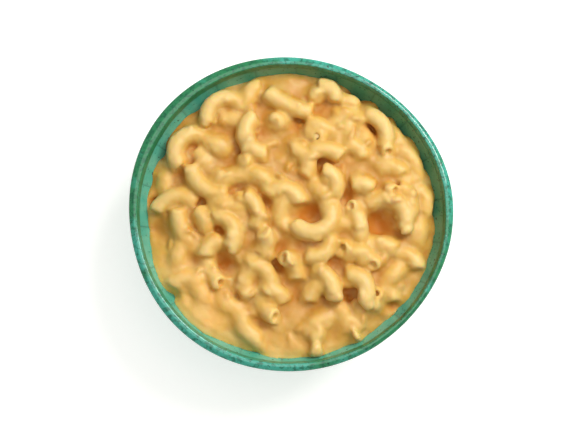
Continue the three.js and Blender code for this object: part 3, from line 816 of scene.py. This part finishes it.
def add_curds(grid, surface):
    """Small lumps of sauce and broken macaroni, half sunk into the top of the heap away from the pools."""
    rng = np.random.default_rng(CURD_SEED)
    top = grid.top_of(surface < 0)
    for _ in range(CURDS):
        angle, share = rng.uniform(0, 2 * math.pi), math.sqrt(rng.uniform(0, CURD_REACH))
        size = rng.uniform(*CURD_SIZES_MM)
        stretch = rng.uniform(*CURD_STRETCHES)
        heading = rng.uniform(0, math.pi)
        reach = share * cavity_radius(angle, EDGE_LEVEL_MM)
        x, y = AXIS_X_MM + reach * math.cos(angle), AXIS_Y_MM + reach * math.sin(angle)
        if bumps(x, y, POOLS) > CURD_FREE_POOL_MM:
            continue
        column = tuple(((np.array([x, y]) - grid.low[:2]) / grid.step).astype(int))
        middle = np.array([x, y, top[column] - CURD_SINK * size])
        margin = size * 1.6 + 1.5
        cells, (cx, cy, cz) = grid.near(middle - margin, middle + margin)
        u = (cx - x) * math.cos(heading) + (cy - y) * math.sin(heading)
        v = (cy - y) * math.cos(heading) - (cx - x) * math.sin(heading)
        lump = np.sqrt((u / stretch) ** 2 + (v * stretch) ** 2 + (cz - middle[2]) ** 2) - size
        surface[cells] = smooth_min(surface[cells], lump, CURD_FILLET_MM)


def surface_net(values, low, step):
    """The surface where the values change sign, as vertices and four-sided faces that point outwards."""
    inside = values < 0
    corners = [(i, j, k) for i in (0, 1) for j in (0, 1) for k in (0, 1)]
    cut = lambda a, c: a[tuple(slice(o, o + n - 1) for o, n in zip(c, a.shape))]
    filled = sum(cut(inside, c).astype(np.int8) for c in corners)
    cells = np.argwhere((filled > 0) & (filled < 8))
    ids = np.full(filled.shape, -1)
    ids[tuple(cells.T)] = np.arange(len(cells))
    total, crossings = np.zeros((len(cells), 3)), np.zeros(len(cells))
    for a in corners:
        for axis in range(3):
            if a[axis]:
                continue
            b = tuple(v + (i == axis) for i, v in enumerate(a))
            fa, fb = values[tuple((cells + a).T)], values[tuple((cells + b).T)]
            crossed = (fa < 0) != (fb < 0)
            place = np.tile(np.array(a, float), (len(cells), 1))
            place[:, axis] = np.where(crossed, fa / np.where(crossed, fa - fb, 1), 0)
            total[crossed] += place[crossed]
            crossings += crossed
    vertices = low + (cells + total / crossings[:, None]) * step
    faces = []
    for axis in range(3):
        one, two = (axis + 1) % 3, (axis + 2) % 3
        here = [slice(1, -1)] * 3
        here[axis] = slice(0, -1)
        there = list(here)
        there[axis] = slice(1, None)
        first, second = inside[tuple(here)], inside[tuple(there)]
        start = np.array([0 if i == axis else 1 for i in range(3)])
        for solid_below in (True, False):
            edges = np.argwhere((first != second) & (first == solid_below)) + start
            ring = []
            for d1, d2 in ((-1, -1), (0, -1), (0, 0), (-1, 0)):
                cell = edges.copy()
                cell[:, one] += d1
                cell[:, two] += d2
                ring.append(ids[tuple(cell.T)])
            faces.append(np.stack(ring if solid_below else ring[::-1], 1))
    return vertices, np.concatenate(faces)


def largest_part(vertices, faces):
    """Keeps the largest connected part, so that sealed pockets and loose scraps go."""
    label = np.arange(len(vertices))
    pairs = np.concatenate([faces[:, [i, (i + 1) % 4]] for i in range(4)])
    while True:
        low = np.minimum(label[pairs[:, 0]], label[pairs[:, 1]])
        fresh = label.copy()
        np.minimum.at(fresh, pairs[:, 0], low)
        np.minimum.at(fresh, pairs[:, 1], low)
        fresh = fresh[fresh]
        if (fresh == label).all():
            break
        label = fresh
    kept = label == np.bincount(label[faces[:, 0]]).argmax()
    number = np.cumsum(kept) - 1
    return vertices[kept], number[faces[kept[faces[:, 0]]]]


def relaxed(vertices, faces):
    """Evens out the steps that the grid leaves, without shrinking the shape."""
    pairs = np.concatenate([faces[:, [i, (i + 1) % 4]] for i in range(4)])
    pairs = np.concatenate([pairs, pairs[:, ::-1]])
    start, end = pairs.T
    count = np.bincount(start, minlength=len(vertices))[:, None]
    for _ in range(SMOOTHING_ROUNDS):
        for share in (0.5, -0.52):
            total = np.stack([np.bincount(start, vertices[end, i], len(vertices)) for i in range(3)], 1)
            vertices = vertices + share * (total / count - vertices)
    return vertices


def blurred(image, reach):
    """An image averaged over squares, twice, which is close to a soft blur."""
    width = 2 * reach + 1
    for _ in range(2):
        for axis in (0, 1):
            padded = np.pad(image, [(reach + 1, reach) if i == axis else (0, 0) for i in (0, 1)], mode="edge")
            sums = np.cumsum(padded, axis)
            upper = np.take(sums, range(width, sums.shape[axis]), axis)
            lower = np.take(sums, range(0, sums.shape[axis] - width), axis)
            image = (upper - lower) / width
    return image


def close_below(mesh):
    """Carries the sauce's open lower edge down the bowl's inside and closes it on the floor."""
    work = bmesh.new()
    work.from_mesh(mesh)
    rim = [e for e in work.edges if e.is_boundary]
    for share in (0.62, 0.48, 0.34, 0.2, 0.1, 0.04, 0.0):
        z = FLOOR_Z_MM + FLOOR_GAP_MM + share * (LIP_Z_MM - FLOOR_Z_MM)
        made = bmesh.ops.extrude_edge_only(work, edges=rim)["geom"]
        for vertex in (g for g in made if isinstance(g, bmesh.types.BMVert)):
            angle = math.atan2(vertex.co.y / MM - AXIS_Y_MM, vertex.co.x / MM - AXIS_X_MM)
            r = max(0.0, float(cavity_radius(angle, z)) - WALL_GAP_MM) if share else 0.0
            vertex.co = Vector((AXIS_X_MM + r * math.cos(angle), AXIS_Y_MM + r * math.sin(angle), z)) * MM
        rim = [g for g in made if isinstance(g, bmesh.types.BMEdge)]
    bmesh.ops.remove_doubles(work, verts=list({v for e in rim for v in e.verts}), dist=1e-6)
    bmesh.ops.recalc_face_normals(work, faces=work.faces)
    work.to_mesh(mesh)
    work.free()


def interpolated(grid, values, points):
    """Values of the grid's cells at points between them."""
    place = np.clip((points - grid.low) / grid.step, 0, grid.count - 1.001)
    cell = place.astype(int)
    share = place - cell
    total = 0.0
    for corner in np.ndindex(2, 2, 2):
        weight = np.prod(np.where(corner, share, 1 - share), axis=1)
        total = total + weight * values[tuple((cell + corner).T)]
    return total


def sauce_mesh(settings, places):
    """The sauce's skin, which knows where it lies over pasta, in a hollow, where shade is painted, or in a
    broad pool, where light is painted.
    """
    grid = Grid(settings.detail / MM)
    coated, surface = sauce_fields(grid, places, settings.coat / MM, settings.fillet / MM, settings.seam / MM)
    vertices, faces = surface_net(surface, grid.low, grid.step)
    vertices, faces = largest_part(vertices, faces)
    vertices = relaxed(vertices, faces)

    over_pasta = 1 - smoothstep(interpolated(grid, coated, vertices), 0.0, PASTA_SHOWS_MM)
    # The broad pools at the front and the left, where the finish paints light.
    broad = [place for place in POOLS if place[3] > BROAD_POOL_MM]
    painted_pool_light = np.clip(bumps(vertices[:, 0], vertices[:, 1], broad) / FULL_POOL_MM, 0, 1)
    # How far each point lies below the heap round it; the finish paints shade in these hollows and a
    # highlight on the proud tops.
    solid = surface < 0
    top = np.where(solid.any(2), grid.top_of(solid), EDGE_LEVEL_MM)
    top = blurred(top, int(round(HOLLOW_REACH_MM / grid.step)))
    around = interpolated(grid, np.broadcast_to(top[:, :, None], surface.shape), vertices)
    hollow = np.clip((around - vertices[:, 2]) / DEEP_HOLLOW_MM, -1.0, 1.0)

    mesh = bpy.data.meshes.new("cheese_sauce")
    mesh.from_pydata((vertices * MM).tolist(), [], faces.tolist())
    store(mesh, "over_pasta", over_pasta)
    store(mesh, "hollow", hollow)
    store(mesh, "painted_pool_light", painted_pool_light)
    close_below(mesh)
    mesh.shade_smooth()
    return mesh


# ---- finishes ----

def new_material(name):
    material = bpy.data.materials.new(name)
    material.use_nodes = True
    tree = material.node_tree
    tree.nodes.clear()
    shader = add_node(tree, "ShaderNodeBsdfPrincipled")
    add_node(tree, "ShaderNodeOutputMaterial", {"Surface": Field(shader.outputs[0])})
    return material, shader, field(tree, "ShaderNodeTexCoord", output="Object")


def attribute(shader, name, output="Fac"):
    settings = {"attribute_name": name, "attribute_type": "GEOMETRY"}
    return field(shader.id_data, "ShaderNodeAttribute", output=output, **settings)


def teal_glaze(settings):
    """Mottled glaze that pools darker in the grooves and leaves the foot bare."""
    material, shader, place = new_material("teal_glaze")
    lip, inside, foot = attribute(shader, "zones", "Vector").parts()
    x, y, z = place.parts()
    angle = y.maths("ARCTAN2", x)
    down_the_wall = combined(angle.maths("COSINE") * 9.0, angle.maths("SINE") * 9.0, z * 30.0)
    runs = down_the_wall.noise(0.9, 2.0)
    cloud = place.noise(55.0, 4.0, 0.6)
    mottle = place.noise(420.0, 4.0, 0.7)
    fleck = place.noise(700.0, 2.0)

    # Outside and on the rim, green turns to teal in clouds, and two sides of the bowl are greener.
    patchy = (angle * 2.0 + 1.4).maths("COSINE") * -0.15 + cloud
    outer = patchy.ramp(0.38, 0.6).mix(settings.green, settings.teal)
    outer = (mottle.ramp(0.46, 0.62) * 0.75).mix(outer, settings.deep_glaze_and_sauce_shade)

    # Inside, pale runs lie over the teal, and painted shade, tinted by the food's bounced light, darkens it
    # towards the back right.
    inner = runs.ramp(0.35, 0.7).mix(settings.teal, settings.aqua)
    inner = (mottle.ramp(0.5, 0.8) * 0.5).mix(inner, settings.green)
    inner = ((x + y).ramp(0.0, 0.09) * 0.55).mix(inner, settings.painted_shade_olive)

    # The crease under the lip is green, from glaze that collects there and painted shade, and the dark specks
    # are a little denser on the right.
    crease = lip.ramp(0.86, 1.0) * (1.0 - inside)
    colour = (crease * 0.6).mix(inside.mix(outer, inner), settings.green)
    specks = (x.ramp(-0.05, 0.08) * 0.03 + fleck).ramp(0.65, 0.73) * 0.8
    colour = specks.mix(colour, settings.speck)
    colour = (attribute(shader, "groove") * 0.5).mix(colour, settings.speck)
    clay = mottle.ramp(0.4, 0.7).mix(settings.clay, settings.burnt_clay)

    soft = cloud.bump(0.25, 0.001)
    fine = mottle.bump(0.08, 0.0003, soft)
    give(shader, {
        "Base Color": foot.mix(colour, clay),
        "Roughness": (cloud * 0.12 + 0.06).maths("MAXIMUM", (foot * 0.75).maths("MAXIMUM", crease * 0.45)),
        "IOR": 1.52,
        "Coat Weight": 0.3,
        "Coat Roughness": 0.06,
        "Normal": (specks * -1.0).bump(0.4, 0.0003, fine),
    })
    return material


def cheese_finish(settings):
    """Smooth thick sauce, paler where it is thin over the macaroni, with painted shade in the hollows,
    painted light on the broad pools, and proud tops paler from thinner sauce and a painted highlight.
    """
    material, shader, place = new_material("cheese_sauce")
    hollow = attribute(shader, "hollow")
    cloud = place.noise(90.0)
    grain = place.noise(900.0, 3.0, 0.6)
    colour = attribute(shader, "over_pasta").mix(settings.sauce, settings.thin)
    # Painted shade: the hollows darken towards a dark red-orange, standing in for the shade and warm bounced
    # light there.
    colour = hollow.ramp(-0.1, 0.9).mix(colour, settings.deep_glaze_and_sauce_shade)
    # Painted light: the broad pools at the front and the left are lightened.
    colour = (attribute(shader, "painted_pool_light") * 0.85).mix(colour, settings.painted_pool_light)
    # Proud tops turn paler, from thinner sauce and a painted highlight; the cloudy patches are the sauce's
    # own paler tone.
    proud = (hollow * -1.0).ramp(0.1, 0.8) * 0.55
    patches = cloud.ramp(0.42, 0.7) * 0.3
    give(shader, {
        "Base Color": proud.maths("MAXIMUM", patches).mix(colour, settings.pale),
        "Roughness": hollow.ramp(0.0, 0.6) * 0.25 + (grain * 0.22 + 0.3),
        "IOR": 1.42,
        "Subsurface Weight": 0.65,
        "Subsurface Radius": (1.0, 0.5, 0.15),
        "Subsurface Scale": 0.004,
        "Normal": grain.bump(0.14, 0.0003, cloud.bump(0.35, 0.0012)),
    })
    return material


def pasta_finish(settings):
    material, shader, place = new_material("cooked_pasta")
    cloud = place.noise(220.0)
    give(shader, {
        "Base Color": cloud.ramp(0.35, 0.7).mix(settings.pasta, settings.pale),
        "Roughness": cloud * 0.2 + 0.32,
        "Subsurface Weight": 0.4,
        "Subsurface Radius": (1.0, 0.6, 0.25),
        "Subsurface Scale": 0.002,
        "Normal": cloud.bump(0.2, 0.0004),
    })
    return material


def floor_finish():
    """White that shines a little of its own, so that only the bowl's shadow shows on it."""
    material, shader, place = new_material("studio_floor")
    colour = place.noise(300.0, 2.0).mix((0.9, 0.9, 0.9), (0.93, 0.93, 0.93))
    give(shader, {
        "Base Color": colour,
        "Emission Color": colour,
        "Emission Strength": 0.55,
        "Roughness": 0.9,
    })
    return material


# ---- the add-on ----

def length_property(name, description, default):
    return bpy.props.FloatProperty(
        name=name, description=description, default=default, subtype="DISTANCE", unit="LENGTH", precision=5)


def colour_property(name, description, default):
    return bpy.props.FloatVectorProperty(
        name=name, description=description, default=default, subtype="COLOR", size=3, min=0.0, max=1.0)


def power_property(name, description, default):
    return bpy.props.FloatProperty(name=name, description=description, default=default, subtype="POWER")


class BowlSettings(bpy.types.PropertyGroup):
    panel_relief: length_property("Panel relief", "How far a panel's sides lie out from its middle", 0.0003)
    groove_depth: length_property("Groove depth", "Extra depth of the line between two panels", 0.0002)
    wobble: length_property("Wobble", "How far the hand-made wall strays from its form", 0.00025)
    lip_wobble: length_property("Lip wobble", "How much the lip's thickness comes and goes", 0.0012)
    deep_glaze_and_sauce_shade: colour_property("Deep green", "Where the glaze is thickest", (0.012, 0.11, 0.06))
    green: colour_property("Green", "The glaze on the rim and outside", (0.03, 0.24, 0.10))
    teal: colour_property("Teal", "The glaze's mottling", (0.06, 0.42, 0.32))
    aqua: colour_property("Aqua", "Runs of paler glaze inside", (0.13, 0.48, 0.36))
    # Painted shade: the inside wall turns to this colour towards the back right, standing in for shade and
    # the food's bounced light.
    painted_shade_olive: colour_property("Olive", "Glaze inside, towards the back right", (0.09, 0.22, 0.05))
    speck: colour_property("Specks", "Dark specks and grooves", (0.006, 0.04, 0.03))
    clay: colour_property("Clay", "The bare foot", (0.46, 0.36, 0.25))
    burnt_clay: colour_property("Burnt clay", "Darker spots on the bare foot", (0.38, 0.29, 0.19))


class MacaroniSettings(bpy.types.PropertyGroup):
    tube_radius: length_property("Tube radius", "Radius of the cooked macaroni without its sauce", 0.0036)
    bore_radius: length_property("Bore radius", "Radius of the hole through the macaroni", 0.0016)
    pasta: colour_property("Pasta", "Cooked pasta", (0.80, 0.50, 0.16))
    pale: colour_property("Pale pasta", "Paler patches", (0.88, 0.62, 0.26))


class SauceSettings(bpy.types.PropertyGroup):
    detail: length_property("Detail", "Size of the grid that the sauce is worked out on", 0.00066)
    coat: length_property("Coat", "Extra sauce over the macaroni", 0.0001)
    fillet: length_property("Fillet", "How softly the sauce meets the macaroni", 0.0047)
    seam: length_property("Seam", "How softly macaroni pieces meet", 0.0018)
    sauce: colour_property("Sauce", "Sauce that has run together", (0.62, 0.34, 0.064))
    thin: colour_property("Thin sauce", "Sauce over macaroni", (0.74, 0.46, 0.11))
    # Painted light: the colour that the broad pools are lightened towards.
    painted_pool_light: colour_property("Pooled sauce", "The smooth sauce at the front and the left", (0.86, 0.50, 0.125))
    # Also the colour of the painted highlight on the proud tops.
    pale: colour_property("Pale sauce", "Paler patches", (0.85, 0.68, 0.31))
    # Painted shade: the colour that the sauce in the hollows darkens to.
    deep_glaze_and_sauce_shade: colour_property("Deep sauce", "Sauce in the hollows", (0.50, 0.18, 0.015))


class StudioSettings(bpy.types.PropertyGroup):
    elevation: bpy.props.FloatProperty(
        name="Camera elevation", description="Angle of the view above the horizon", default=math.radians(85),
        subtype="ANGLE", unit="ROTATION")
    frame_width: length_property("Width in view", "Width of the view at the rim", 0.291)
    lens: bpy.props.FloatProperty(
        name="Lens", description="Focal length in millimetres", default=85.0, subtype="DISTANCE_CAMERA")
    key_power: power_property("Key light", "Power of the main light", 8.6)
    overhead_power: power_property("Overhead light", "Power of the wide light above", 4.3)
    fill: bpy.props.FloatProperty(name="Fill", description="Strength of the light all round", default=0.26)


def settings_of(context, kind):
    return getattr(context.scene, "mac_" + kind)


class MAC_OT_bowl(bpy.types.Operator):
    """Make the glazed stoneware bowl"""
    bl_idname = "mac.bowl"
    bl_label = "Bowl"

    def execute(self, context):
        settings = settings_of(context, "bowl")
        bowl = grown("bowl_glazed", bowl_seed(), bowl_tree(), {
            "Panel Relief": settings.panel_relief,
            "Groove Depth": settings.groove_depth,
            "Wobble": settings.wobble,
            "Lip Wobble": settings.lip_wobble,
            "Material": teal_glaze(settings),
        })
        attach(bowl, "root")
        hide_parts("bowl")
        return {"FINISHED"}


class MAC_OT_macaroni(bpy.types.Operator):
    """Make the hollow elbow macaroni of the heap"""
    bl_idname = "mac.macaroni"
    bl_label = "Macaroni"

    def execute(self, context):
        settings = settings_of(context, "macaroni")
        macaroni = grown("macaroni", macaroni_seed(heap_places()), macaroni_tree(), {
            "Tube Radius": settings.tube_radius,
            "Bore Radius": settings.bore_radius,
            "Material": pasta_finish(settings),
        })
        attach(macaroni, "root")
        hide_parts("macaroni_in_sauce")
        return {"FINISHED"}


class MAC_OT_sauce(bpy.types.Operator):
    """Make the cheese sauce that coats the macaroni and fills the bowl"""
    bl_idname = "mac.sauce"
    bl_label = "Cheese sauce"

    def execute(self, context):
        settings = settings_of(context, "sauce")
        sauce = linked("cheese_sauce", sauce_mesh(settings, heap_places()))
        sauce.data.materials.append(cheese_finish(settings))
        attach(sauce, "root")
        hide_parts("macaroni_in_sauce")
        return {"FINISHED"}


def area_light(name, place, width, power, colour):
    data = bpy.data.lights.new(name, "AREA")
    data.shape = "DISK"
    data.size = width
    data.energy = power
    data.color = colour
    light = linked(name, data)
    light.location = place
    light.rotation_euler = (Vector(AIM) - Vector(place)).to_track_quat("-Z", "Y").to_euler()


class MAC_OT_studio(bpy.types.Operator):
    """Make the floor, the lights and the camera"""
    bl_idname = "mac.studio"
    bl_label = "Studio"

    def execute(self, context):
        settings = settings_of(context, "studio")
        work = bmesh.new()
        bmesh.ops.create_grid(work, x_segments=1, y_segments=1, size=FLOOR_HALF_WIDTH)
        mesh = bpy.data.meshes.new("studio_floor")
        work.to_mesh(mesh)
        work.free()
        floor = linked("studio_floor", mesh)
        floor.data.materials.append(floor_finish())

        area_light("key", KEY_PLACE, KEY_WIDTH, settings.key_power, KEY_COLOUR)
        area_light("overhead", OVERHEAD_PLACE, OVERHEAD_WIDTH, settings.overhead_power, OVERHEAD_COLOUR)
        world = bpy.data.worlds.new("studio_light")
        world.use_nodes = True
        background = world.node_tree.nodes["Background"]
        give(background, {"Color": (*FILL_COLOUR, 1.0), "Strength": settings.fill})
        context.scene.world = world
        context.scene.view_settings.view_transform = "Standard"

        data = bpy.data.cameras.new("camera")
        data.sensor_width = SENSOR_WIDTH
        data.lens = settings.lens
        camera = linked("camera", data)
        distance = settings.frame_width * data.lens / data.sensor_width
        back = Vector((0.0, -math.cos(settings.elevation), math.sin(settings.elevation)))
        camera.location = Vector(AIM) + back * distance
        camera.rotation_euler = (math.radians(90) - settings.elevation, 0.0, 0.0)
        context.scene.camera = camera
        return {"FINISHED"}


class MAC_PT_sidebar(bpy.types.Panel):
    """Lists the pieces and the sizes and colours that they take"""
    bl_label = "Mac and Cheese"
    bl_idname = "MAC_PT_sidebar"
    bl_space_type = "VIEW_3D"
    bl_region_type = "UI"
    bl_category = "Mac and Cheese"

    def draw(self, context):
        for kind, operator in (("bowl", MAC_OT_bowl), ("macaroni", MAC_OT_macaroni),
                               ("sauce", MAC_OT_sauce), ("studio", MAC_OT_studio)):
            box = self.layout.box()
            box.operator(operator.bl_idname)
            settings = settings_of(context, kind)
            for name in settings.__annotations__:
                box.prop(settings, name)


GROUPS = {
    "bowl": BowlSettings,
    "macaroni": MacaroniSettings,
    "sauce": SauceSettings,
    "studio": StudioSettings,
}
CLASSES = [*GROUPS.values(), MAC_OT_bowl, MAC_OT_macaroni, MAC_OT_sauce, MAC_OT_studio, MAC_PT_sidebar]


def register():
    for cls in CLASSES:
        bpy.utils.register_class(cls)
    for kind, group in GROUPS.items():
        setattr(bpy.types.Scene, "mac_" + kind, bpy.props.PointerProperty(type=group))


def unregister():
    for kind in GROUPS:
        delattr(bpy.types.Scene, "mac_" + kind)
    for cls in reversed(CLASSES):
        bpy.utils.unregister_class(cls)


def main():
    register()
    bpy.ops.mac.studio()
    bpy.ops.mac.bowl()
    bpy.ops.mac.macaroni()
    bpy.ops.mac.sauce()


if __name__ == "__main__":
    main()
